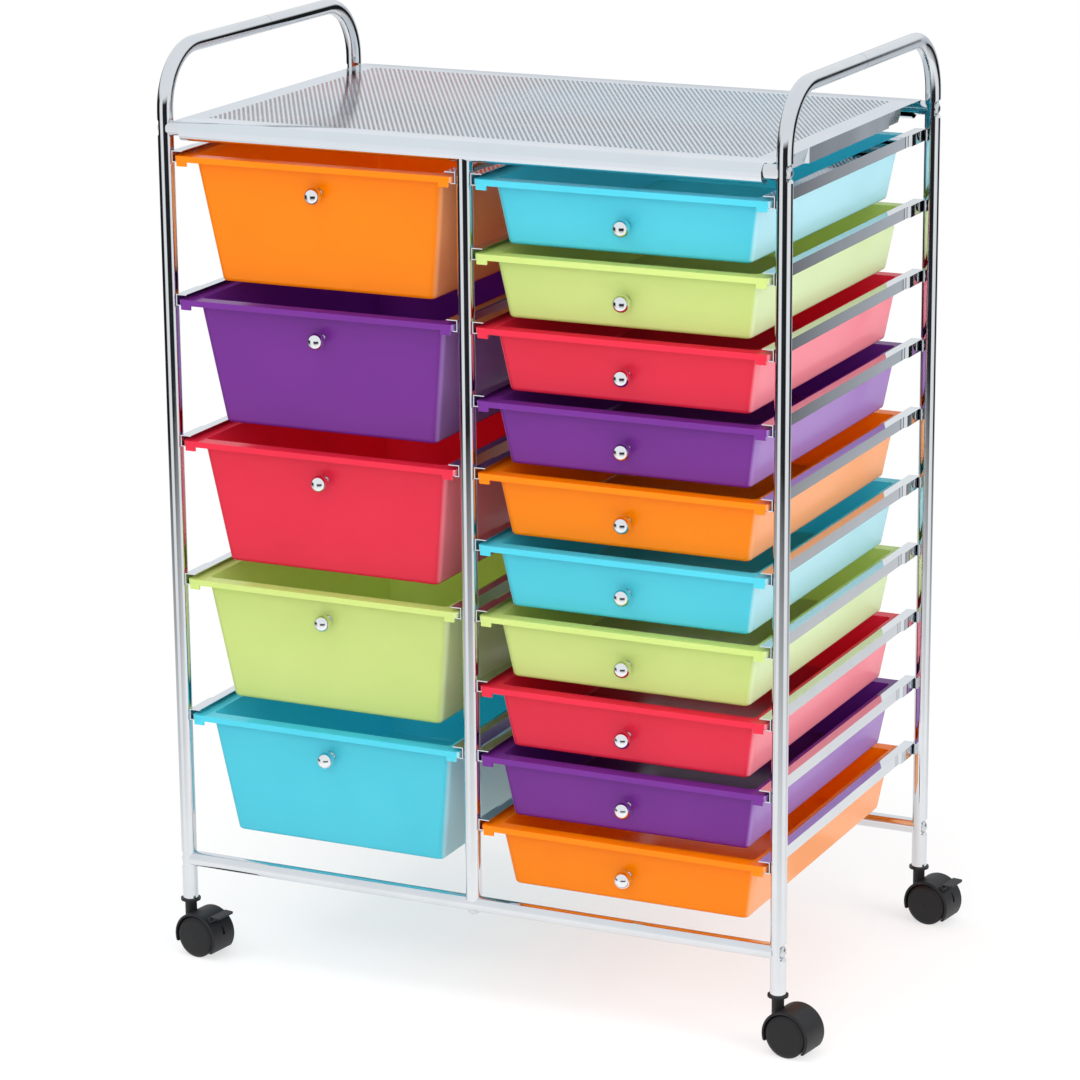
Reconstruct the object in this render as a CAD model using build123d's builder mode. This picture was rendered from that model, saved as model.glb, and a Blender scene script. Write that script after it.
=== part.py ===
from build123d import *
from math import atan2, cos, radians, sin
import os

# Rolling drawer cart, in millimetres. While it is modelled the cart stands on z = 0 with its middle post
# on x = 0 and its front towards -Y; the last section moves every piece to the middle of the whole outline.

# Tube frame
TUBE_D = 15.0
TUBE_WALL = 1.5
POST_X = 307.5
POST_Y = 186.0
POST_FOOT_Z = 54.0
HANDLE_RISE = 63.0
HANDLE_BEND_R = 56.0
HANDLE_SEAM_Y = 7.6
HANDLE_SEAM_WIDTH = 0.6
HANDLE_SEAM_DEPTH = 0.4
BOTTOM_BAR_Z = 95.0
TOP_BAR_D = 14.0
PLUG_LENGTH = 14.0

# Bolts
BOLT_D = 5.0
BOLT_CLEARANCE = 0.2
BOLT_HEAD_D = 11.6
BOLT_HEAD_H = 3.4
BOLT_HEAD_EDGE = 0.8
BOLT_FLAT_DEPTH = 3.6
BOLT_FLAT_LENGTH = 12.6
BOLT_FLAT_RAMP = 2.5

# Top tray
TRAY_RISE = 33.5
TRAY_SHEET = 0.6
TRAY_POST_GAP = 4.0
TRAY_ROLL_D = 18.6
TRAY_ROLL_GAP = 11.0
TRAY_FLANGE_H = 14.0
TRAY_FLANGE_LENGTH = 210.0

# Drawer rails
RAIL_RISE = 80.1
RAIL_PITCH = 67.6
RAIL_COUNT = 10
RAIL_H = 11.0
RAIL_SHEET = 0.9
RAIL_REACH = 11.0
RAIL_STEP = 2.0
RAIL_STEP_LENGTH = 38.0
RAIL_STEP_RAMP = 4.0
RAIL_OVERRUN = 3.5

# Drawers: a shallow one fills one rail level, a deep one fills two
DRAWER_WALL = 2.0
DRAWER_FLOOR = 2.2
DRAWER_SIDE_GAP = 0.9
SLIDE_GAP = 0.05
RIM_H = 5.5
RIM_LEAD = 6.0
RIM_BACK = 2.0
RIM_WIDTH = 14.0
RIM_DEPTH = 12.0
RIM_CORNER_R = 4.0
STOP_WIDTH = 10.0
STOP_DROP = 4.0
STOP_INSET = 2.5
TUB_CORNER_R = 7.0
TUB_FLOOR_R = 4.0
SHALLOW_DEPTH = 60.0
SHALLOW_SIDE_DRAFT = 10.5
SHALLOW_FRONT_DRAFT = 6.5
SHALLOW_KNOB_DROP = 32.5
DEEP_DEPTH = 120.0
DEEP_SIDE_DRAFT = 17.5
DEEP_FRONT_DRAFT = 14.5
DEEP_KNOB_DROP = 26.0

# Knobs
KNOB_D = 16.6
KNOB_NECK_D = 7.0
KNOB_FOOT_D = 9.5
KNOB_FOOT_H = 1.2
KNOB_STAND = 11.0
KNOB_SCREW_D = 4.0
KNOB_SCREW_HEAD_D = 7.6
KNOB_SCREW_HEAD_H = 2.2
KNOB_SCREW_BITE = 7.0

# Casters
CASTER_TURN = 8.0
WHEEL_D = 41.0
WHEEL_TREAD = 12.0
WHEEL_WIDTH = 15.4
WHEEL_FACE_D = 33.0
CASTER_TRAIL = 16.0
HOOD_GAP = 1.0
HOOD_SHELL = 2.4
HOOD_EDGE_R = 1.2
HOOD_WIDTH = 33.0
HOOD_WEB = 5.0
WHEEL_GAP = 0.4
HOOD_NOSE_ANGLE = 197.0
HOOD_TAIL_ANGLE = -35.0
NECK_D = 11.5
NECK_TOP_GAP = 1.4
STEM_D = 8.0
AXLE_D = 5.0
AXLE_LENGTH = 30.0
RUNNING_GAP = 0.05
SOCKET_FLANGE_D = 19.4
SOCKET_FLANGE_H = 2.0
SOCKET_LENGTH = 26.0
STEM_LENGTH = 38.0

# Brake levers
LEVER_ANGLE = 50.0
LEVER_PIVOT_OUT = 1.4
LEVER_BARREL_D = 5.2
LEVER_WIDTH = 24.0
LEVER_REACH = 10.5
LEVER_RISE = 3.8
LEVER_T = 1.8
LEVER_CORNER_R = 2.0
LEVER_RIB = 6.0
LEVER_PIN_D = 2.0
LEVER_EAR = 2.0
LEVER_GAP = 0.3
SLOT_ANGLE = 18.0
SLOT_LENGTH = 10.0
SLOT_TOP_R = 0.8
SLOT_FOOT_R = 1.7
SLOT_DEPTH = 2.4

# Worked-out sizes
TUBE_R = TUBE_D / 2
TOP_BAR_R = TOP_BAR_D / 2
BOLT_R = BOLT_D / 2
BOLT_HOLE_R = BOLT_R + BOLT_CLEARANCE
BOLT_SEAT = TUBE_R - BOLT_FLAT_DEPTH
RAIL_LOW_Z = BOTTOM_BAR_Z + RAIL_RISE
RAIL_TOP_Z = RAIL_LOW_Z + (RAIL_COUNT - 1) * RAIL_PITCH
TRAY_Z = RAIL_TOP_Z + TRAY_RISE
HANDLE_Z = TRAY_Z + HANDLE_RISE
TRAY_WIDTH = 2 * (POST_X - TUBE_R - TRAY_POST_GAP)
TRAY_ROLL_WIDTH = 2 * (POST_X - TUBE_R - TRAY_ROLL_GAP)
ROLL_R = TRAY_ROLL_D / 2
TOP_BAR_Z = TRAY_Z - TRAY_SHEET - TOP_BAR_R
BAR_LEVELS = (BOTTOM_BAR_Z, TOP_BAR_Z)
BAY_WIDTH = POST_X - TUBE_D
BAY_X = POST_X / 2
RIM_HALF = BAY_WIDTH / 2 - RAIL_STEP - RAIL_SHEET - DRAWER_SIDE_GAP
RIM_FRONT_Y = -POST_Y - RIM_LEAD
RIM_BACK_Y = POST_Y - RIM_BACK
RIM_LOW = -RAIL_H / 2 + RAIL_SHEET + SLIDE_GAP
RIM_TOP = RIM_LOW + RIM_H
WHEEL_R = WHEEL_D / 2
HOOD_R = WHEEL_R + HOOD_GAP + HOOD_SHELL
WHEEL_IN_Y = HOOD_WEB / 2 + WHEEL_GAP
STEM_FOOT_Z = POST_FOOT_Z - SOCKET_FLANGE_H + SOCKET_LENGTH - STEM_LENGTH
LEVER_PIVOT_R = HOOD_R + LEVER_PIVOT_OUT
LEVER_X = CASTER_TRAIL + LEVER_PIVOT_R * cos(radians(LEVER_ANGLE))
LEVER_Z = WHEEL_R + LEVER_PIVOT_R * sin(radians(LEVER_ANGLE))

CORNERS = {
    "fl": (-POST_X, -POST_Y),
    "fr": (POST_X, -POST_Y),
    "rl": (-POST_X, POST_Y),
    "rr": (POST_X, POST_Y),
}
BRAKED = ("fl", "rr")
ALONG_X = (0, 90, 0)
ALONG_Y = (90, 0, 0)
STAND = (Align.CENTER, Align.CENTER, Align.MIN)
HANG = (Align.CENTER, Align.CENTER, Align.MAX)

pieces = {}


# Side frames: one tube each, front post, hand grip and rear post in a single run, with a seam in the grip
# where the two bent halves meet. The outer side is pressed in where the bolts pull the cross bars up.
def pressed_in(side, seat):
    half = BOLT_FLAT_LENGTH / 2
    spread = half + 2 * BOLT_FLAT_RAMP
    rim = seat + 2 * BOLT_FLAT_DEPTH
    with BuildPart() as block:
        with BuildSketch(Plane.XZ):
            Polygon(
                (side * seat, -half),
                (side * rim, -spread),
                (side * rim, spread),
                (side * seat, half),
                align=None,
            )
        extrude(amount=TUBE_R, both=True)
    return block.part


def side_frame(side):
    with BuildPart() as pressed_wall:
        Cylinder(TUBE_R, 2 * (BOLT_FLAT_LENGTH + BOLT_FLAT_RAMP))
        add(pressed_in(side, BOLT_SEAT - TUBE_WALL), mode=Mode.INTERSECT)
    with BuildPart() as seam:
        Cylinder(TUBE_D, HANDLE_SEAM_WIDTH, rotation=ALONG_Y)
        Cylinder(TUBE_R - HANDLE_SEAM_DEPTH, HANDLE_SEAM_WIDTH, rotation=ALONG_Y, mode=Mode.SUBTRACT)
    with BuildPart() as frame:
        with BuildLine(Plane.YZ.offset(side * POST_X)) as path:
            FilletPolyline(
                (-POST_Y, POST_FOOT_Z),
                (-POST_Y, HANDLE_Z),
                (POST_Y, HANDLE_Z),
                (POST_Y, POST_FOOT_Z),
                radius=HANDLE_BEND_R,
            )
        with BuildSketch(Plane(path.line @ 0, z_dir=path.line % 0)):
            Circle(TUBE_R)
            Circle(TUBE_R - TUBE_WALL, mode=Mode.SUBTRACT)
        sweep(path=path.line)
        with Locations(*[(side * POST_X, y, z) for y in (-POST_Y, POST_Y) for z in BAR_LEVELS]):
            add(pressed_wall.part)
            add(pressed_in(side, BOLT_SEAT), mode=Mode.SUBTRACT)
            Cylinder(BOLT_HOLE_R, 2 * TUBE_D, rotation=ALONG_X, mode=Mode.SUBTRACT)
        with Locations((side * POST_X, -side * HANDLE_SEAM_Y, HANDLE_Z)):
            add(seam.part, mode=Mode.SUBTRACT)
    return frame.part


pieces["side_frame_left"] = side_frame(-1)
pieces["side_frame_right"] = side_frame(1)


# Cross bars: tubes with a threaded plug in each end, the ends hollowed to sit against the posts. The
# bottom bars have a through hole for the screw that holds the middle post.
def cross_bar(y, z, diameter, screw_hole):
    with BuildPart() as bar:
        with Locations((0, y, z)):
            Cylinder(diameter / 2, 2 * POST_X - TUBE_R, rotation=ALONG_X)
            Cylinder(
                diameter / 2 - TUBE_WALL,
                2 * (POST_X - TUBE_R - PLUG_LENGTH),
                rotation=ALONG_X,
                mode=Mode.SUBTRACT,
            )
            Cylinder(BOLT_R, 2 * POST_X, rotation=ALONG_X, mode=Mode.SUBTRACT)
            if screw_hole:
                Cylinder(BOLT_HOLE_R, 2 * diameter, mode=Mode.SUBTRACT)
        with Locations((-POST_X, y, z), (POST_X, y, z)):
            Cylinder(TUBE_R, 2 * diameter, mode=Mode.SUBTRACT)
    return bar.part


pieces["bottom_bar_front"] = cross_bar(-POST_Y, BOTTOM_BAR_Z, TUBE_D, True)
pieces["bottom_bar_rear"] = cross_bar(POST_Y, BOTTOM_BAR_Z, TUBE_D, True)
pieces["top_bar_front"] = cross_bar(-POST_Y, TOP_BAR_Z, TOP_BAR_D, False)
pieces["top_bar_rear"] = cross_bar(POST_Y, TOP_BAR_Z, TOP_BAR_D, False)


# Middle posts: tubes hollowed at both ends to sit between a bottom bar and a top bar, with a threaded plug
# in the foot.
def mid_post(y):
    post_top = TOP_BAR_Z - TOP_BAR_R / 2
    with BuildPart() as post:
        with Locations((0, y, BOTTOM_BAR_Z)):
            Cylinder(TUBE_R, post_top - BOTTOM_BAR_Z, align=STAND)
            Cylinder(TUBE_R - TUBE_WALL, post_top - BOTTOM_BAR_Z, align=STAND, mode=Mode.SUBTRACT)
            Cylinder(TUBE_R, TUBE_R + PLUG_LENGTH, align=STAND)
            Cylinder(TUBE_D, TUBE_R / 2, align=STAND, mode=Mode.SUBTRACT)
            Cylinder(BOLT_R, 2 * (TUBE_R + PLUG_LENGTH), mode=Mode.SUBTRACT)
            Cylinder(TUBE_R, 2 * TUBE_D, rotation=ALONG_X, mode=Mode.SUBTRACT)
        with Locations((0, y, TOP_BAR_Z)):
            Cylinder(TOP_BAR_R, 2 * TUBE_D, rotation=ALONG_X, mode=Mode.SUBTRACT)
    return post.part


pieces["mid_post_front"] = mid_post(-POST_Y)
pieces["mid_post_rear"] = mid_post(POST_Y)


# Frame bolts: domed heads sunk in the pressed flats of the posts, and one screw with a saddle-shaped head up
# through each bottom bar into the middle post.
def domed_bolt(seat, shank_length, saddle):
    head_r = BOLT_HEAD_D / 2
    edge = seat + BOLT_HEAD_EDGE
    rise = BOLT_HEAD_H - BOLT_HEAD_EDGE
    dome_r = (head_r**2 + rise**2) / (2 * rise)
    with BuildPart() as bolt:
        with BuildSketch(Plane.XZ):
            with BuildLine():
                RadiusArc((0, edge + rise), (head_r, edge), dome_r)
                Polyline((head_r, edge), (head_r, 0), (0, 0), (0, edge + rise))
            make_face()
        revolve(axis=Axis.Z)
        if saddle:
            Cylinder(TUBE_R, 2 * TUBE_D, rotation=ALONG_Y, mode=Mode.SUBTRACT)
        else:
            with Locations((0, 0, seat)):
                Cylinder(BOLT_HEAD_D, 2 * seat, align=HANG, mode=Mode.SUBTRACT)
        with Locations((0, 0, seat)):
            Cylinder(BOLT_R, shank_length, align=HANG)
    return bolt.part


post_bolt = domed_bolt(BOLT_SEAT, BOLT_SEAT + TUBE_R + PLUG_LENGTH / 2, False)
foot_screw = domed_bolt(TUBE_R, TUBE_D + PLUG_LENGTH / 2, True)

with BuildPart() as frame_bolts:
    for y in (-POST_Y, POST_Y):
        for z in BAR_LEVELS:
            with Locations(Location((POST_X, y, z), (0, 90, 0)), Location((-POST_X, y, z), (0, -90, 0))):
                add(post_bolt)
        with Locations(Location((0, y, BOTTOM_BAR_Z), (0, 180, 90))):
            add(foot_screw)
pieces["frame_bolts"] = frame_bolts.part


# Top tray: one steel sheet with its front and rear edges rolled round the top bars and its side edges
# folded down between the posts. Its fine round holes are left out of the solid.
roll_z = TRAY_Z - ROLL_R
roll_in_r = ROLL_R - TRAY_SHEET
with BuildPart() as top_tray:
    with BuildSketch(Plane.YZ):
        for side in (-1, 1):
            roll_y = side * POST_Y
            with Locations((roll_y, roll_z)):
                Circle(ROLL_R)
                Circle(roll_in_r, mode=Mode.SUBTRACT)
            Polygon(
                (roll_y, roll_z),
                (roll_y - side * 2 * ROLL_R, roll_z - 2 * ROLL_R),
                (roll_y - side * 2 * ROLL_R, roll_z + roll_in_r),
                (roll_y, roll_z + roll_in_r),
                align=None,
                mode=Mode.SUBTRACT,
            )
        with Locations((0, TRAY_Z - TRAY_SHEET / 2)):
            Rectangle(2 * POST_Y, TRAY_SHEET)
    extrude(amount=TRAY_ROLL_WIDTH / 2, both=True)
    with Locations((0, 0, TRAY_Z)):
        Box(TRAY_WIDTH, 2 * POST_Y, TRAY_SHEET, align=HANG)
    for side in (-1, 1):
        with Locations((side * (TRAY_WIDTH - TRAY_SHEET) / 2, 0, TRAY_Z)):
            Box(TRAY_SHEET, TRAY_FLANGE_LENGTH, TRAY_FLANGE_H, align=HANG)
        with Locations((0, side * POST_Y, TRAY_Z - ROLL_R)):
            Cylinder(TUBE_R + BOLT_CLEARANCE, 2 * ROLL_R, align=HANG, mode=Mode.SUBTRACT)
pieces["top_tray"] = top_tray.part


# Rails: folded C channels, open towards the drawer. The web stands a step away from the posts and
# joggles out to them at both ends, where it is welded on.
def rail_plan(web):
    front = -POST_Y - RAIL_OVERRUN
    back = POST_Y + RAIL_OVERRUN
    past = 2 * web
    step_on = RAIL_STEP_LENGTH
    step_off = RAIL_STEP_LENGTH + RAIL_STEP_RAMP
    return [
        (RAIL_REACH + past, front - past),
        (web, front - past),
        (web, front + step_on),
        (web + RAIL_STEP, front + step_off),
        (web + RAIL_STEP, back - step_off),
        (web, back - step_on),
        (web, back + past),
        (RAIL_REACH + past, back + past),
    ]


with BuildPart() as rail:
    with BuildSketch():
        Polygon(*rail_plan(0), align=None)
    extrude(amount=RAIL_H / 2, both=True)
    with BuildSketch():
        Polygon(*rail_plan(RAIL_SHEET), align=None)
    extrude(amount=RAIL_H / 2 - RAIL_SHEET, both=True, mode=Mode.SUBTRACT)

with BuildPart() as rail_facing_left:
    add(rail.part)
    mirror(about=Plane.YZ, mode=Mode.REPLACE)

deep_levels = [RAIL_TOP_Z - 2 * RAIL_PITCH * i for i in range(RAIL_COUNT // 2)]
shallow_levels = [RAIL_TOP_Z - RAIL_PITCH * i for i in range(RAIL_COUNT)]
with BuildPart() as rails:
    for z in deep_levels:
        add(rail.part.moved(Location((-POST_X + TUBE_R, 0, z))))
        add(rail_facing_left.part.moved(Location((-TUBE_R, 0, z))))
    for z in shallow_levels:
        add(rail.part.moved(Location((TUBE_R, 0, z))))
        add(rail_facing_left.part.moved(Location((POST_X - TUBE_R, 0, z))))
pieces["rails"] = rails.part


# Drawers: moulded trays with sloping walls. The rim turns down all round, rides in the rails at the
# sides, and carries a stop at each front corner that meets the rail ends.
def tub(inset, floor, depth, side_draft, front_draft, corner_r, floor_r):
    top = RIM_TOP
    low = RIM_TOP - depth + floor
    reach = floor / depth
    half_top = RIM_HALF - RIM_WIDTH - inset
    half_low = half_top - side_draft * (1 - reach)
    front_top = RIM_FRONT_Y + RIM_DEPTH + inset
    back_top = RIM_BACK_Y - RIM_DEPTH - inset
    front_low = front_top + front_draft * (1 - reach)
    back_low = back_top - front_draft * (1 - reach)
    with BuildPart() as block:
        with BuildSketch(Plane.XZ):
            Polygon((-half_top, top), (-half_low, low), (half_low, low), (half_top, top), align=None)
        extrude(amount=2 * POST_Y, both=True)
        with BuildSketch(Plane.YZ):
            Polygon((front_top, top), (front_low, low), (back_low, low), (back_top, top), align=None)
        extrude(amount=2 * POST_X, both=True, mode=Mode.INTERSECT)
        fillet(block.edges().filter_by(lambda edge: abs(edge.tangent_at(0.5).Z) > 0.5), corner_r)
        fillet(block.edges().group_by(Axis.Z)[0], floor_r)
    return block.part


# The front wall's face at the height of the knob, pointing outwards.
def knob_plane(depth, front_draft, drop):
    wall_y = RIM_FRONT_Y + RIM_DEPTH + front_draft * (RIM_TOP + drop) / depth
    return Plane((0, wall_y, -drop), x_dir=(1, 0, 0), z_dir=(0, -depth, -front_draft))


def drawer_tray(depth, side_draft, front_draft, knob_drop):
    rim_length = RIM_BACK_Y - RIM_FRONT_Y
    rim_y = (RIM_BACK_Y + RIM_FRONT_Y) / 2
    stop_x = RIM_HALF - STOP_INSET - STOP_WIDTH / 2
    with BuildPart() as tray:
        with Locations((0, rim_y, RIM_LOW)):
            Box(2 * RIM_HALF, rim_length, RIM_H, align=STAND)
        fillet(tray.edges().filter_by(Axis.Z), RIM_CORNER_R)
        with Locations((0, rim_y, RIM_LOW)):
            Box(
                2 * (RIM_HALF - DRAWER_WALL),
                rim_length - 2 * DRAWER_WALL,
                RIM_H - DRAWER_WALL,
                align=STAND,
                mode=Mode.SUBTRACT,
            )
        add(tub(0, 0, depth, side_draft, front_draft, TUB_CORNER_R, TUB_FLOOR_R))
        inner_r = TUB_CORNER_R - DRAWER_WALL
        floor_r = TUB_FLOOR_R - DRAWER_WALL
        cavity = tub(DRAWER_WALL, DRAWER_FLOOR, depth, side_draft, front_draft, inner_r, floor_r)
        add(cavity, mode=Mode.SUBTRACT)
        with Locations((-stop_x, RIM_FRONT_Y, RIM_LOW), (stop_x, RIM_FRONT_Y, RIM_LOW)):
            Box(STOP_WIDTH, DRAWER_WALL, STOP_DROP, align=(Align.CENTER, Align.MIN, Align.MAX))
        with Locations(knob_plane(depth, front_draft, knob_drop)):
            Cylinder(KNOB_SCREW_D / 2 + BOLT_CLEARANCE, 4 * DRAWER_WALL, mode=Mode.SUBTRACT)
    return tray.part


# Knobs: a plated ball on a short neck, and the screw that holds it from inside the drawer.
def knob_ball(depth, front_draft, knob_drop):
    with BuildPart() as knob:
        with Locations(knob_plane(depth, front_draft, knob_drop)):
            Cylinder(KNOB_FOOT_D / 2, KNOB_FOOT_H, align=STAND)
            Cylinder(KNOB_NECK_D / 2, KNOB_STAND, align=STAND)
            with Locations((0, 0, KNOB_STAND)):
                Sphere(KNOB_D / 2)
            Cylinder(KNOB_SCREW_D / 2, KNOB_SCREW_BITE, align=STAND, mode=Mode.SUBTRACT)
    return knob.part


def knob_screw(depth, front_draft, knob_drop):
    wall = DRAWER_WALL * cos(atan2(front_draft, depth))
    with BuildPart() as screw:
        with Locations(knob_plane(depth, front_draft, knob_drop)):
            with Locations((0, 0, -wall)):
                Cylinder(KNOB_SCREW_D / 2, wall + KNOB_SCREW_BITE, align=STAND)
                Cylinder(KNOB_SCREW_HEAD_D / 2, KNOB_SCREW_HEAD_H, align=HANG)
    return screw.part


deep = (DEEP_DEPTH, DEEP_FRONT_DRAFT, DEEP_KNOB_DROP)
shallow = (SHALLOW_DEPTH, SHALLOW_FRONT_DRAFT, SHALLOW_KNOB_DROP)
columns = [
    ("left", -BAY_X, deep_levels, drawer_tray(DEEP_DEPTH, DEEP_SIDE_DRAFT, *deep[1:]), deep),
    ("right", BAY_X, shallow_levels, drawer_tray(SHALLOW_DEPTH, SHALLOW_SIDE_DRAFT, *shallow[1:]), shallow),
]
for column, bay_x, levels, tray_part, knob_size in columns:
    ball = knob_ball(*knob_size)
    screw = knob_screw(*knob_size)
    for row, level in enumerate(levels, start=1):
        seat = Location((bay_x, 0, level))
        pieces[f"drawer_{column}_{row}"] = tray_part.moved(seat)
        pieces[f"knob_{column}_{row}"] = Compound([ball.moved(seat), screw.moved(seat)])


# Caster hoods: an arched shell over both wheels on a middle web, with the neck that takes the stem. The
# braked ones have a trough and two ears for the lever, and a drop-shaped slot below it.
def caster_hood(braked):
    def on_arc(angle):
        turn = radians(angle)
        return (CASTER_TRAIL + HOOD_R * cos(turn), WHEEL_R + HOOD_R * sin(turn))

    neck_top = POST_FOOT_Z - SOCKET_FLANGE_H - NECK_TOP_GAP
    ear_r = LEVER_BARREL_D / 2
    ear_y = LEVER_WIDTH / 2 + LEVER_GAP + LEVER_EAR / 2
    with BuildPart() as hood:
        with BuildSketch(Plane.XZ):
            with BuildLine():
                ThreePointArc(on_arc(HOOD_NOSE_ANGLE), on_arc(90), on_arc(HOOD_TAIL_ANGLE))
                Line(on_arc(HOOD_TAIL_ANGLE), on_arc(HOOD_NOSE_ANGLE))
            make_face()
        extrude(amount=HOOD_WIDTH / 2, both=True)
        fillet(hood.edges().filter_by(GeomType.CIRCLE), HOOD_EDGE_R)
        with Locations((0, 0, WHEEL_R)):
            Cylinder(NECK_D / 2, neck_top - WHEEL_R, align=STAND)
        if braked:
            with Locations((LEVER_X, ear_y, LEVER_Z), (LEVER_X, -ear_y, LEVER_Z)):
                Cylinder(ear_r, LEVER_EAR, rotation=ALONG_Y)
        well_r = WHEEL_R + HOOD_GAP
        well_y = (HOOD_WEB + HOOD_WIDTH) / 2
        with Locations((CASTER_TRAIL, well_y, WHEEL_R), (CASTER_TRAIL, -well_y, WHEEL_R)):
            Cylinder(well_r, HOOD_WIDTH, rotation=ALONG_Y, mode=Mode.SUBTRACT)
        with Locations((0, 0, STEM_FOOT_Z)):
            Cylinder(STEM_D / 2, neck_top, align=STAND, mode=Mode.SUBTRACT)
        with Locations((CASTER_TRAIL, 0, WHEEL_R)):
            Cylinder(AXLE_D / 2, HOOD_WIDTH, rotation=ALONG_Y, mode=Mode.SUBTRACT)
        if braked:
            with Locations((LEVER_X, 0, LEVER_Z)):
                Cylinder(ear_r + LEVER_GAP, LEVER_WIDTH + 2 * LEVER_GAP, rotation=ALONG_Y, mode=Mode.SUBTRACT)
                Cylinder(LEVER_PIN_D / 2 + RUNNING_GAP, HOOD_WIDTH, rotation=ALONG_Y, mode=Mode.SUBTRACT)
            slot_x, slot_z = on_arc(SLOT_ANGLE)
            outwards = (cos(radians(SLOT_ANGLE)), 0, sin(radians(SLOT_ANGLE)))
            with BuildSketch(Plane((slot_x, 0, slot_z), x_dir=(0, 1, 0), z_dir=outwards)):
                with Locations((0, SLOT_LENGTH / 2 - SLOT_TOP_R)):
                    Circle(SLOT_TOP_R)
                with Locations((0, SLOT_FOOT_R - SLOT_LENGTH / 2)):
                    Circle(SLOT_FOOT_R)
                make_hull()
            extrude(amount=SLOT_DEPTH, both=True, mode=Mode.SUBTRACT)
    return hood.part


# Caster pins: the steel stem that turns in the socket and the axle across the web.
def caster_pins():
    with BuildPart() as stem:
        with Locations((0, 0, STEM_FOOT_Z)):
            Cylinder(STEM_D / 2, STEM_LENGTH, align=STAND)
        chamfer(stem.edges().group_by(Axis.Z)[-1], STEM_D / 8)
    with BuildPart() as axle:
        with Locations((CASTER_TRAIL, 0, WHEEL_R)):
            Cylinder(AXLE_D / 2, AXLE_LENGTH, rotation=ALONG_Y)
    return [stem.part, axle.part]


# Wheels: turned from half a section, with a flat tread, a rounded shoulder, a domed outer face and a
# blind hole for the axle.
def wheel(side):
    bore_r = AXLE_D / 2 + RUNNING_GAP
    bore_end = AXLE_LENGTH / 2 + RUNNING_GAP
    face = WHEEL_IN_Y + WHEEL_WIDTH
    shoulder = WHEEL_IN_Y + WHEEL_TREAD
    shoulder_mid = ((WHEEL_R * 2 + WHEEL_FACE_D / 2) / 3, (shoulder + 2 * face) / 3 - HOOD_GAP)
    rim_face = (WHEEL_FACE_D / 2, face - HOOD_GAP)
    with BuildPart() as disc:
        with BuildSketch():
            with BuildLine():
                Polyline((0, face), (0, bore_end), (bore_r, bore_end), (bore_r, WHEEL_IN_Y))
                Polyline((bore_r, WHEEL_IN_Y), (WHEEL_R, WHEEL_IN_Y), (WHEEL_R, shoulder))
                ThreePointArc((WHEEL_R, shoulder), shoulder_mid, rim_face)
                Line(rim_face, (0, face))
            make_face()
        revolve(axis=Axis.Y)
    with BuildPart() as placed:
        with Locations(Location((CASTER_TRAIL, 0, WHEEL_R), (0, 0, 0 if side > 0 else 180))):
            add(disc.part)
    return placed.part


# Brake levers: a barrel with two pivot pins, a rib, and the wide paddle that the foot presses.
with BuildPart() as lever:
    with BuildSketch(Plane.XZ):
        with Locations((LEVER_X, LEVER_Z)):
            Polygon(
                (0, -LEVER_BARREL_D / 4),
                (LEVER_REACH, LEVER_RISE - LEVER_T),
                (LEVER_REACH, LEVER_RISE),
                (0, LEVER_RISE),
                align=None,
            )
    extrude(amount=LEVER_RIB / 2, both=True)
    with Locations((LEVER_X, 0, LEVER_Z + LEVER_RISE)):
        Box(LEVER_REACH, LEVER_WIDTH, LEVER_T, align=(Align.MIN, Align.CENTER, Align.MAX))
    fillet(lever.edges().filter_by(Axis.Z).group_by(Axis.X)[-1], LEVER_CORNER_R)
    with Locations((LEVER_X, 0, LEVER_Z)):
        Cylinder(LEVER_BARREL_D / 2, LEVER_WIDTH, rotation=ALONG_Y)
        Cylinder(LEVER_PIN_D / 2, LEVER_WIDTH + 2 * (LEVER_GAP + LEVER_EAR), rotation=ALONG_Y)

plain_hood = caster_hood(False)
braked_hood = caster_hood(True)
pins = caster_pins()
wheels = {"front": wheel(-1), "back": wheel(1)}
for corner, (x, y) in CORNERS.items():
    seat = Location((x, y, 0), (0, 0, -CASTER_TURN))
    hood = braked_hood if corner in BRAKED else plain_hood
    pieces[f"caster_hood_{corner}"] = hood.moved(seat)
    pieces[f"caster_pins_{corner}"] = Compound([pin.moved(seat) for pin in pins])
    for place, disc in wheels.items():
        pieces[f"wheel_{corner}_{place}"] = disc.moved(seat)
    if corner in BRAKED:
        pieces[f"brake_lever_{corner}"] = lever.part.moved(seat)

# Caster sockets: moulded plugs pressed into the posts, with a flange under the tube and a hole for the stem.
with BuildPart() as socket:
    with Locations((0, 0, POST_FOOT_Z)):
        Cylinder(SOCKET_FLANGE_D / 2, SOCKET_FLANGE_H, align=HANG)
    with Locations((0, 0, POST_FOOT_Z - SOCKET_FLANGE_H)):
        Cylinder(TUBE_R - TUBE_WALL, SOCKET_LENGTH + SOCKET_FLANGE_H, align=STAND)
        Cylinder(
            STEM_D / 2 + RUNNING_GAP,
            SOCKET_LENGTH + RUNNING_GAP,
            align=STAND,
            mode=Mode.SUBTRACT,
        )
with BuildPart() as caster_sockets:
    with Locations(*CORNERS.values()):
        add(socket.part)
pieces["caster_sockets"] = caster_sockets.part

# Every piece moves so that the origin is the bottom middle of the cart's outline, casters included.
boxes = [piece.bounding_box() for piece in pieces.values()]
low = [min(tuple(box.min)[i] for box in boxes) for i in range(3)]
high = [max(tuple(box.max)[i] for box in boxes) for i in range(3)]
middle = Location((-(low[0] + high[0]) / 2, -(low[1] + high[1]) / 2, -low[2]))
print("frame centre at", [round(v, 4) for v in middle.position])

os.makedirs("parts", exist_ok=True)
for name, piece in pieces.items():
    part = piece.moved(middle)
    part.label = name
    export_step(part, f"parts/{name}.step")
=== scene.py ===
import math

import bpy
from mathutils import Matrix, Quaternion, Vector


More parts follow.
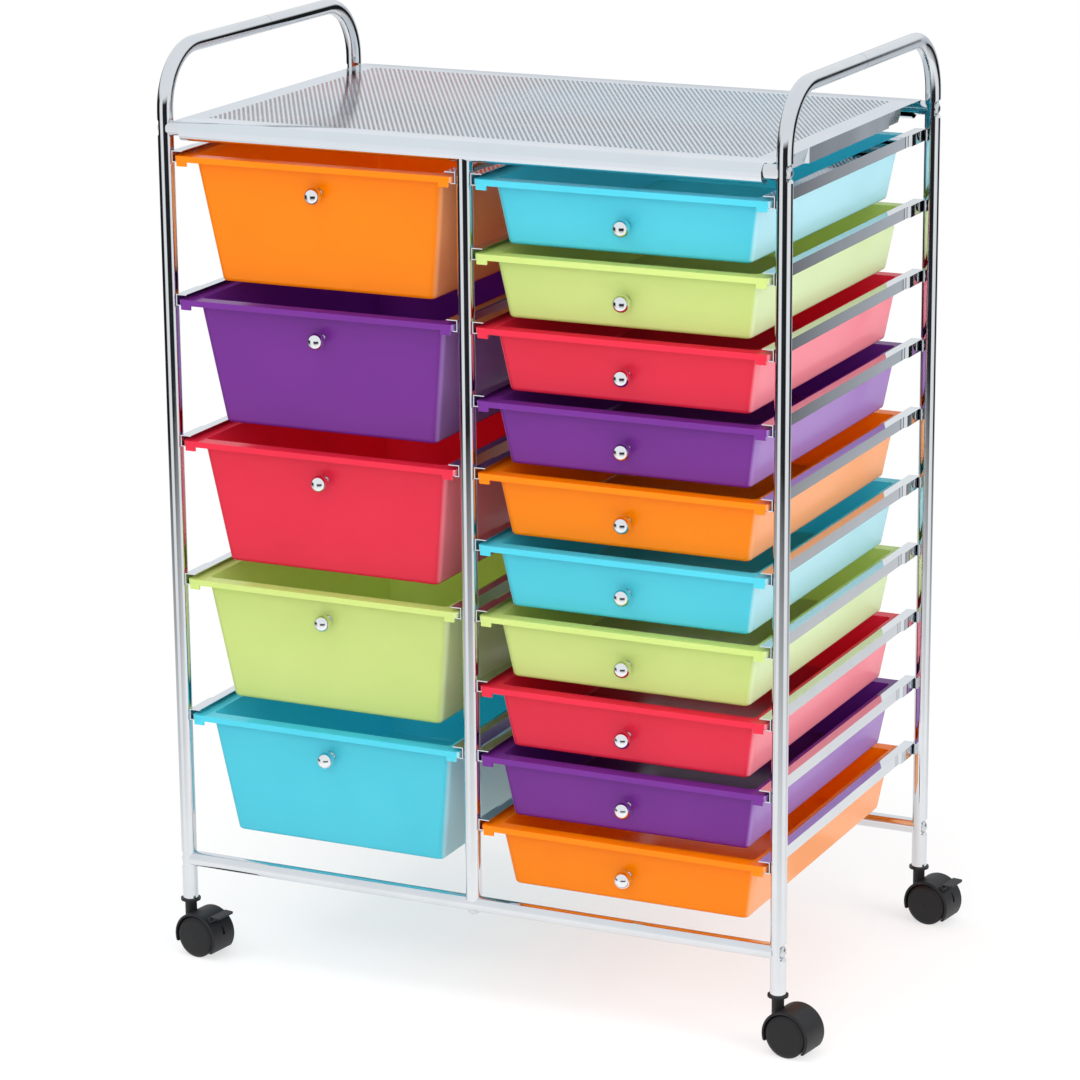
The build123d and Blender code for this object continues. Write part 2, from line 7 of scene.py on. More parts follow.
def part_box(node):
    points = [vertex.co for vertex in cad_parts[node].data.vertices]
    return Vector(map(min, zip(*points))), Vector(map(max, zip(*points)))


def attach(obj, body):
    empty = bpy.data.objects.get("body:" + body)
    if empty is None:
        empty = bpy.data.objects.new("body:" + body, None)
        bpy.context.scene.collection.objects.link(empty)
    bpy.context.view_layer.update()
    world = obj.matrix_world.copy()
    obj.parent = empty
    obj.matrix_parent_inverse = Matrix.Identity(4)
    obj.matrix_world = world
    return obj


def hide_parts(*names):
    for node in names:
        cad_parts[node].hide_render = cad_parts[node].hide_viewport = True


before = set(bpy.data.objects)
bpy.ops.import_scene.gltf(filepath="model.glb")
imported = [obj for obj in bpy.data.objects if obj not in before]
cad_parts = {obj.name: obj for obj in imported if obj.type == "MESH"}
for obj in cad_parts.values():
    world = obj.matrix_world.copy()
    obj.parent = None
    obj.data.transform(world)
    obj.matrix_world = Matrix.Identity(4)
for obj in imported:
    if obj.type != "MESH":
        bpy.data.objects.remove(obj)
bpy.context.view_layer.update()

MM = 0.001


# Tube frame: drawn steel tube, bent, polished and chromed. Bright chrome is a clean cool mirror, and the
# wiping after plating leaves faint smears that show only as softer patches in its reflections.
TUBE_TINT = "E3E6E9"
TUBE_TINT_SMEARED = "D5D9DD"
TUBE_ROUGHNESS = (0.03, 0.09)
TUBE_SMEAR = 38 * MM
TUBE_RIPPLE = 9 * MM
TUBE_RIPPLE_STRENGTH = 0.12
SMEAR_SPAN = (0.35, 0.7)
RIPPLE_DEPTH = 0.1 * MM
SIDE_FRAMES = ["side_frame_left", "side_frame_right"]
CROSS_BARS = ["bottom_bar_front", "bottom_bar_rear", "top_bar_front", "top_bar_rear"]
MID_POSTS = ["mid_post_front", "mid_post_rear"]


def linear(colour):
    """An sRGB hex colour as linear red, green, blue and alpha."""
    steps = [int(colour[i:i + 2], 16) / 255 for i in (0, 2, 4)]
    return tuple(c / 12.92 if c <= 0.04045 else ((c + 0.055) / 1.055) ** 2.4 for c in steps) + (1.0,)


def add_node(tree, kind, inputs, **settings):
    """A node with its settings, its values, and its links from other nodes' sockets."""
    node = tree.nodes.new(kind)
    for name, value in settings.items():
        setattr(node, name, value)
    for name, value in inputs.items():
        if isinstance(value, bpy.types.NodeSocket):
            tree.links.new(value, node.inputs[name])
        else:
            node.inputs[name].default_value = value
    return node


def empty_material(name):
    material = bpy.data.materials.new(name)
    material.use_nodes = True
    material.node_tree.nodes.clear()
    return material, material.node_tree


def plated_steel(name, tint, smeared_tint, roughness, smear_width, ripple_width, ripple):
    """Steel with wiped patches that are duller and softer, over a faint ripple in its surface."""
    material, tree = empty_material(name)
    place = add_node(tree, "ShaderNodeTexCoord", {}).outputs["Object"]
    smears = add_node(
        tree, "ShaderNodeTexNoise", {"Vector": place, "Scale": 1 / smear_width, "Detail": 3.0}
    )
    colour = add_node(
        tree,
        "ShaderNodeMix",
        {"Factor": smears.outputs["Fac"], "A": linear(tint), "B": linear(smeared_tint)},
        data_type="RGBA",
    )
    softness = add_node(
        tree,
        "ShaderNodeMapRange",
        {
            "Value": smears.outputs["Fac"],
            "From Min": SMEAR_SPAN[0],
            "From Max": SMEAR_SPAN[1],
            "To Min": roughness[0],
            "To Max": roughness[1],
        },
    )
    waves = add_node(
        tree, "ShaderNodeTexNoise", {"Vector": place, "Scale": 1 / ripple_width, "Detail": 1.0}
    )
    bump = add_node(
        tree,
        "ShaderNodeBump",
        {"Height": waves.outputs["Fac"], "Strength": ripple, "Distance": RIPPLE_DEPTH},
    )
    shader = add_node(
        tree,
        "ShaderNodeBsdfPrincipled",
        {
            "Base Color": colour.outputs["Result"],
            "Metallic": 1.0,
            "Roughness": softness.outputs["Result"],
            "Normal": bump.outputs["Normal"],
        },
    )
    add_node(tree, "ShaderNodeOutputMaterial", {"Surface": shader.outputs["BSDF"]})
    return material


def finish(nodes, material):
    """Gives each of the named nodes its material."""
    for name in nodes:
        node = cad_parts[name]
        if not node.material_slots:
            node.data.materials.append(material)
        for place in node.material_slots:
            place.material = material


tube_chrome = plated_steel(
    "bright_chrome_tube",
    TUBE_TINT,
    TUBE_TINT_SMEARED,
    TUBE_ROUGHNESS,
    TUBE_SMEAR,
    TUBE_RIPPLE,
    TUBE_RIPPLE_STRENGTH,
)
finish(SIDE_FRAMES + CROSS_BARS + MID_POSTS, tube_chrome)


# Frame bolts: domed steel screws through the posts into the ends of the bars, each seated in a dent pressed
# into the tube. They are plated but not polished, so they shine a little duller than the frame.
BOLT_TINT = "DADDE0"
BOLT_TINT_SMEARED = "C6CACE"
BOLT_ROUGHNESS = (0.08, 0.18)
BOLT_SMEAR = 8 * MM
BOLT_RIPPLE = 3 * MM
BOLT_RIPPLE_STRENGTH = 0.2

bolt_chrome = plated_steel(
    "plated_bolt",
    BOLT_TINT,
    BOLT_TINT_SMEARED,
    BOLT_ROUGHNESS,
    BOLT_SMEAR,
    BOLT_RIPPLE,
    BOLT_RIPPLE_STRENGTH,
)
finish(["frame_bolts"], bolt_chrome)


# Top tray: one chromed steel sheet with small round holes in offset rows and a plain border. The front and
# rear edges are rolled round the top bars, which hold it, and the side edges are folded down. Thin sheet
# never lies quite flat, so its reflections are soft and waver.
HOLE_PITCH = 5 * MM
HOLE_D = 2.9 * MM
HOLE_SIDES = 8
RING_GROWTH = 2
BETWEEN_RINGS = HOLE_D * 0.75
ROW_PITCH = HOLE_PITCH * math.sqrt(3) / 2
SHEET = 0.6 * MM
ROLL_R = 9.3 * MM
ROLL_TURN = math.radians(225)
ROLL_STEPS = 14
ROLL_END_GAP = 7 * MM
BORDER_SIDE = 20.5 * MM
FLANGE_H = 14 * MM
FLANGE_LENGTH = 270 * MM
FLANGE_FLAT = 200 * MM
FLANGE_END_BEND = 4 * MM
SHEET_EDGE = math.radians(35)
TRAY_PARTS = ("left", "middle", "right")
TRAY_TINT = "E4E9EE"
TRAY_TINT_SMEARED = "D8DFE6"
TRAY_ROUGHNESS = (0.08, 0.16)
TRAY_SMEAR = 60 * MM
TRAY_RIPPLE = 30 * MM
TRAY_RIPPLE_STRENGTH = 0.15
NEAR = 0.01 * MM

tray_low, tray_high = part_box("top_tray")
tray_mid = (tray_low + tray_high) / 2
tray_width = tray_high.x - tray_low.x
roll_y = (tray_high.y - tray_low.y) / 2 - ROLL_R
holes_across = round((tray_width - 2 * BORDER_SIDE) / HOLE_PITCH)
row_pairs = round((2 * roll_y - 2 * BORDER_SIDE) / (2 * ROW_PITCH))


def start_piece():
    """Leaves edit mode and clears the selection."""
    if bpy.context.mode != "OBJECT":
        bpy.ops.object.mode_set(mode="OBJECT")
    bpy.ops.object.select_all(action="DESELECT")


def pick(test):
    """In edit mode, selects just the points that pass the test."""
    bpy.ops.mesh.select_mode(type="VERT")
    bpy.ops.mesh.select_all(action="DESELECT")
    bpy.ops.object.mode_set(mode="OBJECT")
    for point in bpy.context.object.data.vertices:
        point.select = test(point.co)
    bpy.ops.object.mode_set(mode="EDIT")


def repeat(piece, count, step):
    """Copies the piece along a step with an array, joined where the copies meet."""
    array = piece.modifiers.new("repeat", "ARRAY")
    array.count = count
    array.use_relative_offset = False
    array.use_constant_offset = True
    array.constant_offset_displace = step
    array.use_merge_vertices = True
    array.merge_threshold = NEAR
    bpy.ops.object.modifier_apply(modifier=array.name)


def hole_row(count, first_x, y):
    """One row of holes: a ring of points opened out to its rectangle of sheet, then repeated."""
    start_piece()
    bpy.ops.mesh.primitive_circle_add(vertices=HOLE_SIDES, radius=HOLE_D / 2)
    bpy.ops.object.mode_set(mode="EDIT")
    bpy.ops.mesh.select_all(action="SELECT")
    bpy.ops.mesh.extrude_region_move()
    bpy.ops.transform.resize(value=(RING_GROWTH, RING_GROWTH, 1))
    half = Vector((HOLE_PITCH / 2, ROW_PITCH / 2, 0))
    for axis in (0, 1):
        for side in (-1, 1):
            edge = [0, 0, 0]
            edge[axis] = side * half[axis]
            squeeze = [1, 1, 1]
            squeeze[axis] = 0
            pick(lambda p: p.length > BETWEEN_RINGS and side * p[axis] > NEAR)
            bpy.ops.transform.resize(value=squeeze, center_override=edge)
    bpy.ops.mesh.select_all(action="SELECT")
    bpy.ops.transform.translate(value=(first_x, y, 0))
    bpy.ops.object.mode_set(mode="OBJECT")
    row = bpy.context.object
    repeat(row, count, (HOLE_PITCH, 0, 0))
    return row


def pull_edge(test, shift):
    """Pulls new sheet out of the open edge whose points pass the test."""
    pick(test)
    bpy.ops.mesh.extrude_region_move(TRANSFORM_OT_translate={"value": shift})


start_x = -(holes_across - 1) * HOLE_PITCH / 2
start_y = -(row_pairs - 0.5) * ROW_PITCH
full_row = hole_row(holes_across, start_x, start_y)
offset_row = hole_row(holes_across - 1, start_x + HOLE_PITCH / 2, start_y + ROW_PITCH)
field_x = holes_across * HOLE_PITCH / 2
field_y = row_pairs * ROW_PITCH
bpy.ops.object.mode_set(mode="EDIT")
pull_edge(lambda p: p.x < -field_x + HOLE_PITCH / 2 + NEAR, (-HOLE_PITCH / 2, 0, 0))
pull_edge(lambda p: p.x > field_x - HOLE_PITCH / 2 - NEAR, (HOLE_PITCH / 2, 0, 0))
bpy.ops.object.mode_set(mode="OBJECT")
full_row.select_set(True)
bpy.ops.object.join()
tray_sheet = bpy.context.object
bpy.ops.object.mode_set(mode="EDIT")
bpy.ops.mesh.select_all(action="SELECT")
bpy.ops.mesh.remove_doubles(threshold=NEAR)
bpy.ops.object.mode_set(mode="OBJECT")
repeat(tray_sheet, row_pairs, (0, 2 * ROW_PITCH, 0))

roll_half = tray_width / 2 - ROLL_END_GAP
bpy.ops.object.mode_set(mode="EDIT")
for side in (-1, 1):
    pull_edge(lambda p: side * p.x > field_x - NEAR, (side * (roll_half - field_x), 0, 0))
for side in (-1, 1):
    pull_edge(lambda p: side * p.x > roll_half - NEAR, (side * ROLL_END_GAP, 0, 0))
for side in (-1, 1):
    pull_edge(lambda p: side * p.y > field_y - NEAR, (0, side * (roll_y - field_y), 0))
bpy.ops.mesh.select_all(action="SELECT")
bpy.ops.mesh.normals_make_consistent(inside=False)
bpy.ops.object.mode_set(mode="OBJECT")
if sum(face.normal.z for face in tray_sheet.data.polygons) < 0:
    bpy.ops.object.mode_set(mode="EDIT")
    bpy.ops.mesh.select_all(action="SELECT")
    bpy.ops.mesh.flip_normals()
bpy.ops.object.mode_set(mode="EDIT")
for side in (-1, 1):
    pick(lambda p: side * p.y > roll_y - NEAR and abs(p.x) < roll_half + NEAR)
    bpy.ops.mesh.spin(
        steps=ROLL_STEPS, angle=side * ROLL_TURN, center=(0, side * roll_y, -ROLL_R), axis=(1, 0, 0)
    )
for side in (-1, 1):
    pull_edge(
        lambda p: side * p.x > tray_width / 2 - NEAR and abs(p.y) < FLANGE_LENGTH / 2,
        (0, 0, -FLANGE_H),
    )
    pick(lambda p: side * p.x > tray_width / 2 - NEAR and p.z < -NEAR and abs(p.y) > FLANGE_FLAT / 2)
    bpy.ops.transform.translate(value=(-side * FLANGE_END_BEND, 0, 0))
bpy.ops.mesh.select_all(action="SELECT")
bpy.ops.transform.translate(value=(tray_mid.x, tray_mid.y, tray_high.z))
bpy.ops.object.mode_set(mode="OBJECT")

tray_chrome = plated_steel(
    "chromed_tray_sheet",
    TRAY_TINT,
    TRAY_TINT_SMEARED,
    TRAY_ROUGHNESS,
    TRAY_SMEAR,
    TRAY_RIPPLE,
    TRAY_RIPPLE_STRENGTH,
)
tray_pieces = [tray_sheet]
for cut in (tray_mid.x + tray_width / 6, tray_mid.x - tray_width / 6):
    start_piece()
    tray_sheet.select_set(True)
    bpy.context.view_layer.objects.active = tray_sheet
    bpy.ops.object.mode_set(mode="EDIT")
    bpy.ops.mesh.select_mode(type="FACE")
    bpy.ops.mesh.select_all(action="DESELECT")
    bpy.ops.object.mode_set(mode="OBJECT")
    for face in tray_sheet.data.polygons:
        face.select = face.center.x > cut
    bpy.ops.object.mode_set(mode="EDIT")
    bpy.ops.mesh.separate(type="SELECTED")
    bpy.ops.object.mode_set(mode="OBJECT")
    tray_pieces.insert(1, next(piece for piece in bpy.context.selected_objects if piece != tray_sheet))
for name, piece in zip(TRAY_PARTS, tray_pieces):
    start_piece()
    piece.select_set(True)
    bpy.context.view_layer.objects.active = piece
    piece.name = f"tray_sheet_{name}"
    wall = piece.modifiers.new("sheet", "SOLIDIFY")
    wall.thickness = SHEET
    wall.offset = -1
    wall.use_even_offset = True
    bpy.ops.object.modifier_apply(modifier=wall.name)
    bpy.ops.object.shade_smooth_by_angle(angle=SHEET_EDGE)
    piece.data.materials.append(tray_chrome)
    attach(piece, "cart_frame")
    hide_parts("top_tray")


# Drawer rails: roll-formed C channels of thin steel sheet, welded to the posts and plated with the frame.
# The rolls leave them nearly as bright as a mirror. A weld nub shows on the web beside each post.
RAIL_LEVELS = 10
RAIL_H = 11 * MM
TUBE_R = 7.5 * MM
NUB_R = 1.6 * MM
NUB_H = 0.6 * MM
NUB_Y = 174 * MM
NUB_SEGMENTS = 8
NUB_RINGS = 6
RAIL_TINT = "E2E5E8"
RAIL_TINT_SMEARED = "D6DADF"
RAIL_ROUGHNESS = (0.02, 0.05)
RAIL_SMEAR = 50 * MM
RAIL_RIPPLE = 14 * MM
RAIL_RIPPLE_STRENGTH = 0.02

rail_chrome = plated_steel(
    "chromed_rail_sheet",
    RAIL_TINT,
    RAIL_TINT_SMEARED,
    RAIL_ROUGHNESS,
    RAIL_SMEAR,
    RAIL_RIPPLE,
    RAIL_RIPPLE_STRENGTH,
)
finish(["rails"], rail_chrome)

rails_low, rails_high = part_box("rails")
rails_mid = (rails_low + rails_high) / 2
rail_step = (rails_high.z - rails_low.z - RAIL_H) / (RAIL_LEVELS - 1)
nub_places = []
for level in range(RAIL_LEVELS):
    webs = [rails_mid.x + TUBE_R, rails_high.x]
    if level % 2:
        webs += [rails_low.x, rails_mid.x - TUBE_R]
    for web in webs:
        for y in (rails_mid.y - NUB_Y, rails_mid.y + NUB_Y):
            nub_places.append((web, y, rails_low.z + RAIL_H / 2 + level * rail_step))
start_piece()
for place in nub_places:
    bpy.ops.mesh.primitive_uv_sphere_add(
        segments=NUB_SEGMENTS,
        ring_count=NUB_RINGS,
        radius=NUB_R,
        location=place,
        scale=(NUB_H / NUB_R, 1, 1),
    )
    if bpy.context.mode == "OBJECT":
        rail_nubs = bpy.context.object
        bpy.ops.object.transform_apply(location=True, rotation=True, scale=True)
        bpy.ops.object.mode_set(mode="EDIT")
bpy.ops.object.mode_set(mode="OBJECT")
bpy.ops.object.shade_smooth()
rail_nubs.name = "rail_weld_nubs"
rail_nubs.data.materials.append(rail_chrome)
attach(rail_nubs, "cart_frame")


# Drawers: injection-moulded polypropylene, tinted right through and glossy from the polished mould. They
# hang by their rims in the rails. The walls glow with light from behind through a translucent shader, and
# front and inside are full in colour. The outer faces of the side walls are painted paler, a painted light
# and painted reflection for the light through the thin sides and the white they mirror.
DRAWER_GLOW = 0.42
PAINTED_SIDE_LIGHT_REACH = (60 * MM, 100 * MM)
DRAWER_ROUGHNESS = (0.12, 0.20)
DRAWER_IOR = 1.49
DRAWER_SHINE = 0.35
FLOW_CLOUD = 70 * MM
# Each entry is body colour, cloud colour, and a pale painted-light colour laid on the outer side walls for
# light through them and the white they reflect.
DRAWER_COLOURS = {
    "orange": ("FF9A08", "FC9202", "FFC288"),
    "purple": ("883AA6", "7E349E", "BC94DC"),
    "red": ("F03856", "E8304C", "FFA2B0"),
    "lime": ("DCEA98", "D2E48A", "EAF6CC"),
    "cyan": ("62DCEC", "56D6E8", "CCF2F8"),
}
LEFT_COLOURS = ["orange", "purple", "red", "lime", "cyan"]
RIGHT_COLOURS = ["cyan", "lime", "red", "purple", "orange"] * 2


def tinted_plastic(name, middle_x, body, cloud, painted_side_light):
    """Tinted plastic, faintly clouded where it flowed in the mould, with painted light: the outer faces of
    its side walls are paled to stand for light through them and the white they reflect.
    """
    material, tree = empty_material(name)
    place = add_node(tree, "ShaderNodeTexCoord", {})
    clouds = add_node(
        tree,
        "ShaderNodeTexNoise",
        {"Vector": place.outputs["Object"], "Scale": 1 / FLOW_CLOUD, "Detail": 2.0},
    )
    tint = add_node(
        tree,
        "ShaderNodeMix",
        {"Factor": clouds.outputs["Fac"], "A": linear(body), "B": linear(cloud)},
        data_type="RGBA",
    )
    facing = add_node(tree, "ShaderNodeSeparateXYZ", {"Vector": place.outputs["Normal"]})
    spot = add_node(tree, "ShaderNodeSeparateXYZ", {"Vector": place.outputs["Object"]})
    aside = add_node(tree, "ShaderNodeMath", {0: spot.outputs["X"], 1: middle_x}, operation="SUBTRACT")
    outward = add_node(
        tree, "ShaderNodeMath", {0: facing.outputs["X"], 1: aside.outputs["Value"]}, operation="MULTIPLY"
    )
    # Painted light mask: 1 on the outer faces of the side walls, which get the pale painted-light colour.
    painted_side_light_mask = add_node(
        tree,
        "ShaderNodeMapRange",
        {"Value": outward.outputs["Value"], "From Min": PAINTED_SIDE_LIGHT_REACH[0], "From Max": PAINTED_SIDE_LIGHT_REACH[1]},
    )
    colour = add_node(
        tree,
        "ShaderNodeMix",
        {"Factor": painted_side_light_mask.outputs["Result"], "A": tint.outputs["Result"], "B": linear(painted_side_light)},
        data_type="RGBA",
    )
    softness = add_node(
        tree,
        "ShaderNodeMapRange",
        {"Value": clouds.outputs["Fac"], "To Min": DRAWER_ROUGHNESS[0], "To Max": DRAWER_ROUGHNESS[1]},
    )
    surface = add_node(
        tree,
        "ShaderNodeBsdfPrincipled",
        {
            "Base Color": colour.outputs["Result"],
            "Roughness": softness.outputs["Result"],
            "IOR": DRAWER_IOR,
            "Specular IOR Level": DRAWER_SHINE,
        },
    )
    glow = add_node(tree, "ShaderNodeBsdfTranslucent", {"Color": colour.outputs["Result"]})
    wall = add_node(
        tree,
        "ShaderNodeMixShader",
        {0: DRAWER_GLOW, 1: surface.outputs["BSDF"], 2: glow.outputs["BSDF"]},
    )
    add_node(tree, "ShaderNodeOutputMaterial", {"Surface": wall.outputs["Shader"]})
    return material


for column, colours in (("left", LEFT_COLOURS), ("right", RIGHT_COLOURS)):
    column_low, column_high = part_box(f"drawer_{column}_1")
    middle_x = (column_low.x + column_high.x) / 2
    plastics = {}
    for name, shades in DRAWER_COLOURS.items():
        plastics[name] = tinted_plastic(f"tinted_plastic_{name}_{column}", middle_x, *shades)
    for row, colour in enumerate(colours, start=1):
        finish([f"drawer_{column}_{row}"], plastics[colour])


# Knobs: turned balls, each held by a screw from inside the drawer. They are polished before they are plated
# and have the cleanest mirror on the cart.
KNOB_TINT = "EEF0F2"
KNOB_TINT_SMEARED = "E4E7EA"
KNOB_ROUGHNESS = (0.02, 0.06)
KNOB_SMEAR = 10 * MM
KNOB_RIPPLE = 4 * MM
KNOB_RIPPLE_STRENGTH = 0.05

knob_chrome = plated_steel(
    "bright_chrome_knob",
    KNOB_TINT,
    KNOB_TINT_SMEARED,
    KNOB_ROUGHNESS,
    KNOB_SMEAR,
    KNOB_RIPPLE,
    KNOB_RIPPLE_STRENGTH,
)
finish([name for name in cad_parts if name.startswith("knob_")], knob_chrome)


# Casters: hoods, levers, wheels and sockets of black moulded nylon on plain steel pins, one in the foot of
# each post. The spark-eroded mould gives a fine grain, drawn coarser here so that it shows, and a satin
# black that is duller where it is handled.
HOOD_BLACK = ("141416", "1B1B1D")
HOOD_ROUGHNESS = (0.42, 0.55)
WHEEL_BLACK = ("101012", "171719")
WHEEL_ROUGHNESS = (0.38, 0.50)
NYLON_IOR = 1.5
NYLON_SHINE = 0.3
GRAIN = 0.9 * MM
GRAIN_DEPTH = 0.05 * MM
GRAIN_STRENGTH = 0.35
HANDLED_PATCH = 12 * MM
PIN_TINT = "B5B7BA"
PIN_TINT_SMEARED = "9EA1A5"
PIN_ROUGHNESS = (0.22, 0.36)
PIN_SMEAR = 6 * MM
PIN_RIPPLE = 2 * MM
PIN_RIPPLE_STRENGTH = 0.3
HOODS = [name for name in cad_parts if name.startswith(("caster_hood_", "brake_lever_"))]
WHEELS = [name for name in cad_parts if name.startswith("wheel_")]
PINS = [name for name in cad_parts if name.startswith("caster_pins_")]


def moulded_nylon(name, colour, worn_colour, roughness):
    """Black nylon with a fine grain and patches dulled by handling."""
    material, tree = empty_material(name)
    place = add_node(tree, "ShaderNodeTexCoord", {}).outputs["Object"]
    grain = add_node(tree, "ShaderNodeTexNoise", {"Vector": place, "Scale": 1 / GRAIN, "Detail": 2.0})
    handling = add_node(
        tree, "ShaderNodeTexNoise", {"Vector": place, "Scale": 1 / HANDLED_PATCH, "Detail": 3.0}
    )
    tone = add_node(
        tree,
        "ShaderNodeMix",
        {"Factor": handling.outputs["Fac"], "A": linear(colour), "B": linear(worn_colour)},
        data_type="RGBA",
    )
    softness = add_node(
        tree,
        "ShaderNodeMapRange",
        {"Value": handling.outputs["Fac"], "To Min": roughness[0], "To Max": roughness[1]},
    )
    bump = add_node(
        tree,
        "ShaderNodeBump",
        {"Height": grain.outputs["Fac"], "Strength": GRAIN_STRENGTH, "Distance": GRAIN_DEPTH},
    )
    shader = add_node(
        tree,
        "ShaderNodeBsdfPrincipled",
        {
            "Base Color": tone.outputs["Result"],
            "Roughness": softness.outputs["Result"],
            "IOR": NYLON_IOR,
            "Specular IOR Level": NYLON_SHINE,
            "Normal": bump.outputs["Normal"],
        },
    )
    add_node(tree, "ShaderNodeOutputMaterial", {"Surface": shader.outputs["BSDF"]})
    return material


hood_nylon = moulded_nylon("moulded_nylon_hood", *HOOD_BLACK, HOOD_ROUGHNESS)
wheel_nylon = moulded_nylon("moulded_nylon_wheel", *WHEEL_BLACK, WHEEL_ROUGHNESS)
pin_steel = plated_steel(
    "plain_steel_pin",
    PIN_TINT,
    PIN_TINT_SMEARED,
    PIN_ROUGHNESS,
    PIN_SMEAR,
    PIN_RIPPLE,
    PIN_RIPPLE_STRENGTH,
)
finish(HOODS + ["caster_sockets"], hood_nylon)
finish(WHEELS, wheel_nylon)
finish(PINS, pin_steel)


# Studio: a white floor that runs out into a white background, and broad lamps above, in front and on the
# right that metal doesn't show. Chrome sees white panels on both sides, dark between them, and a pale
# ceiling.
WHITE = (1.0, 1.0, 1.0, 1.0)
FLOOR_R = 2.6
FLOOR_SIDES = 96
FLOOR_GLOW = 0.6
FLOOR_MATT = (0.9, 0.9, 0.9, 1.0)
FLOOR_WHITENS = (0.5, 1.4)
FLOOR_CLEARS = (0.45, 2.4)
ROOM_LIGHT = (0.85, 0.85, 0.85, 1.0)
CEILING = "F4F7F9"
CEILING_RISE = (0.06, 0.24)
LAMPS = (
    ("lamp_above", (-0.6, -0.9, 3.2), (0, 0, 0.4), 2.6, 40),
    ("lamp_front", (1.2, -3.4, 1.7), (0, 0, 0.45), 2.2, 52),
    ("lamp_right", (3.0, -0.4, 1.5), (0, 0, 0.45), 2.0, 52),
)
# Each panel's edge is a turn in degrees from the camera's side of the room, with its shade.
CAMERA_SIDE = -64.6
PANELS = (
    (-115.4, "1C1D1F"),
    (-82, "1C1D1F"),
    (-72, "F4F6F8"),
    (-38, "FFFFFF"),
    (-28, "26272A"),
    (26, "202124"),
    (38, "FFFFFF"),
    (84, "F4F6F8"),
    (93, "1C1D1F"),
    (133.1, "1C1D1F"),
    (133.8, "C9CDD3"),
    (200, "DDE1E6"),
    (212, "2A2B2E"),
    (244.6, "1C1D1F"),
)

start_piece()
bpy.ops.mesh.primitive_circle_add(vertices=FLOOR_SIDES, radius=FLOOR_R, fill_type="NGON")
floor = bpy.context.object
floor.name = "studio_floor"
floor_paint, tree = empty_material("white_floor")
place = add_node(tree, "ShaderNodeTexCoord", {}).outputs["Object"]
away = add_node(tree, "ShaderNodeVectorMath", {0: place}, operation="LENGTH")
fade = add_node(
    tree,
    "ShaderNodeMapRange",
    {
        "Value": away.outputs["Value"],
        "From Min": FLOOR_WHITENS[0],
        "From Max": FLOOR_WHITENS[1],
        "To Min": FLOOR_GLOW,
    },
)
path = add_node(tree, "ShaderNodeLightPath", {})
seen = add_node(
    tree,
    "ShaderNodeMath",
    {0: 1.0, 1: path.outputs["Is Diffuse Ray"]},
    operation="SUBTRACT",
    use_clamp=True,
)
share = add_node(
    tree, "ShaderNodeMath", {0: fade.outputs["Result"], 1: seen.outputs["Value"]}, operation="MULTIPLY"
)
matt = add_node(tree, "ShaderNodeBsdfDiffuse", {"Color": FLOOR_MATT})
glow = add_node(tree, "ShaderNodeEmission", {"Color": WHITE, "Strength": 1.0})
lit = add_node(
    tree,
    "ShaderNodeMixShader",
    {0: share.outputs["Value"], 1: matt.outputs["BSDF"], 2: glow.outputs["Emission"]},
)
far = add_node(
    tree,
    "ShaderNodeMapRange",
    {"Value": away.outputs["Value"], "From Min": FLOOR_CLEARS[0], "From Max": FLOOR_CLEARS[1]},
)
lost = add_node(
    tree,
    "ShaderNodeMath",
    {0: far.outputs["Result"], 1: path.outputs["Is Glossy Ray"]},
    operation="MULTIPLY",
)
clear = add_node(tree, "ShaderNodeBsdfTransparent", {"Color": WHITE})
blend = add_node(
    tree,
    "ShaderNodeMixShader",
    {0: lost.outputs["Value"], 1: lit.outputs["Shader"], 2: clear.outputs["BSDF"]},
)
add_node(tree, "ShaderNodeOutputMaterial", {"Surface": blend.outputs["Shader"]})
floor.data.materials.append(floor_paint)

world = bpy.data.worlds.new("studio_room")
bpy.context.scene.world = world
world.use_nodes = True
tree = world.node_tree
tree.nodes.clear()
direction = add_node(tree, "ShaderNodeTexCoord", {}).outputs["Generated"]
around = add_node(tree, "ShaderNodeTexGradient", {"Vector": direction}, gradient_type="RADIAL")
walls = add_node(tree, "ShaderNodeValToRGB", {"Fac": around.outputs["Fac"]})
stops = walls.color_ramp.elements
while len(stops) < len(PANELS):
    stops.new(0.5)
for stop, (angle, shade) in zip(stops, PANELS):
    stop.position = (angle + CAMERA_SIDE) / 360 + 0.5
    stop.color = linear(shade)
height = add_node(tree, "ShaderNodeSeparateXYZ", {"Vector": direction})
up = add_node(
    tree,
    "ShaderNodeMapRange",
    {"Value": height.outputs["Z"], "From Min": CEILING_RISE[0], "From Max": CEILING_RISE[1]},
)
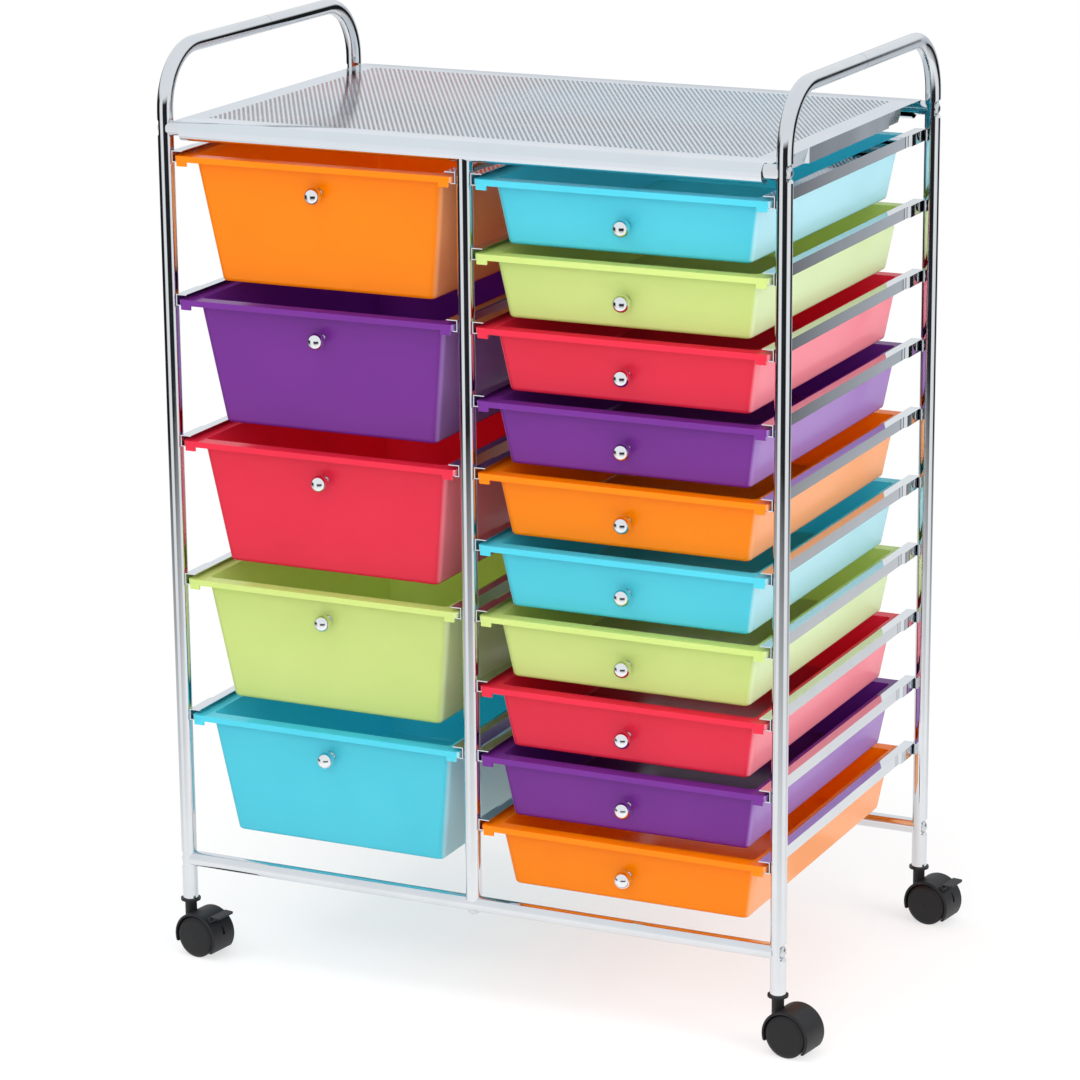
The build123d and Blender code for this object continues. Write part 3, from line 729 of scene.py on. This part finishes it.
mirrored = add_node(
    tree,
    "ShaderNodeMix",
    {"Factor": up.outputs["Result"], "A": walls.outputs["Color"], "B": linear(CEILING)},
    data_type="RGBA",
)
path = add_node(tree, "ShaderNodeLightPath", {})
shown = add_node(
    tree,
    "ShaderNodeMix",
    {"Factor": path.outputs["Is Glossy Ray"], "A": WHITE, "B": mirrored.outputs["Result"]},
    data_type="RGBA",
)
room = add_node(
    tree,
    "ShaderNodeMix",
    {"Factor": path.outputs["Is Diffuse Ray"], "A": shown.outputs["Result"], "B": ROOM_LIGHT},
    data_type="RGBA",
)
sky = add_node(tree, "ShaderNodeBackground", {"Color": room.outputs["Result"], "Strength": 1.0})
add_node(tree, "ShaderNodeOutputWorld", {"Surface": sky.outputs["Background"]})

for name, place, aim, size, power in LAMPS:
    lamp = bpy.data.lights.new(name, "AREA")
    lamp.shape = "DISK"
    lamp.size = size
    lamp.energy = power
    holder = bpy.data.objects.new(name, lamp)
    holder.location = place
    holder.rotation_mode = "QUATERNION"
    holder.rotation_quaternion = (Vector(aim) - Vector(place)).to_track_quat("-Z", "Y")
    holder.visible_glossy = False
    bpy.context.scene.collection.objects.link(holder)


# Camera: to the right of the cart and a little above it, as far off as a long studio lens stands.
AZIMUTH = math.radians(25.41)
ELEVATION = math.radians(15.41)
ROLL = math.radians(-0.47)
DISTANCE = 3851 * MM
LENS = 133.65
SENSOR = 36
AIM = Vector((-33.6, 2.2, 399.4)) * MM
back = Vector(
    (math.sin(AZIMUTH) * math.cos(ELEVATION), -math.cos(AZIMUTH) * math.cos(ELEVATION), math.sin(ELEVATION))
)
lens = bpy.data.cameras.new("studio_camera")
lens.sensor_width = SENSOR
lens.lens = LENS
camera = bpy.data.objects.new("studio_camera", lens)
camera.location = AIM + back * DISTANCE
camera.rotation_mode = "QUATERNION"
camera.rotation_quaternion = (-back).to_track_quat("-Z", "Y") @ Quaternion((0, 0, 1), ROLL)
bpy.context.scene.collection.objects.link(camera)
bpy.context.scene.camera = camera
bpy.context.scene.view_settings.view_transform = "Standard"
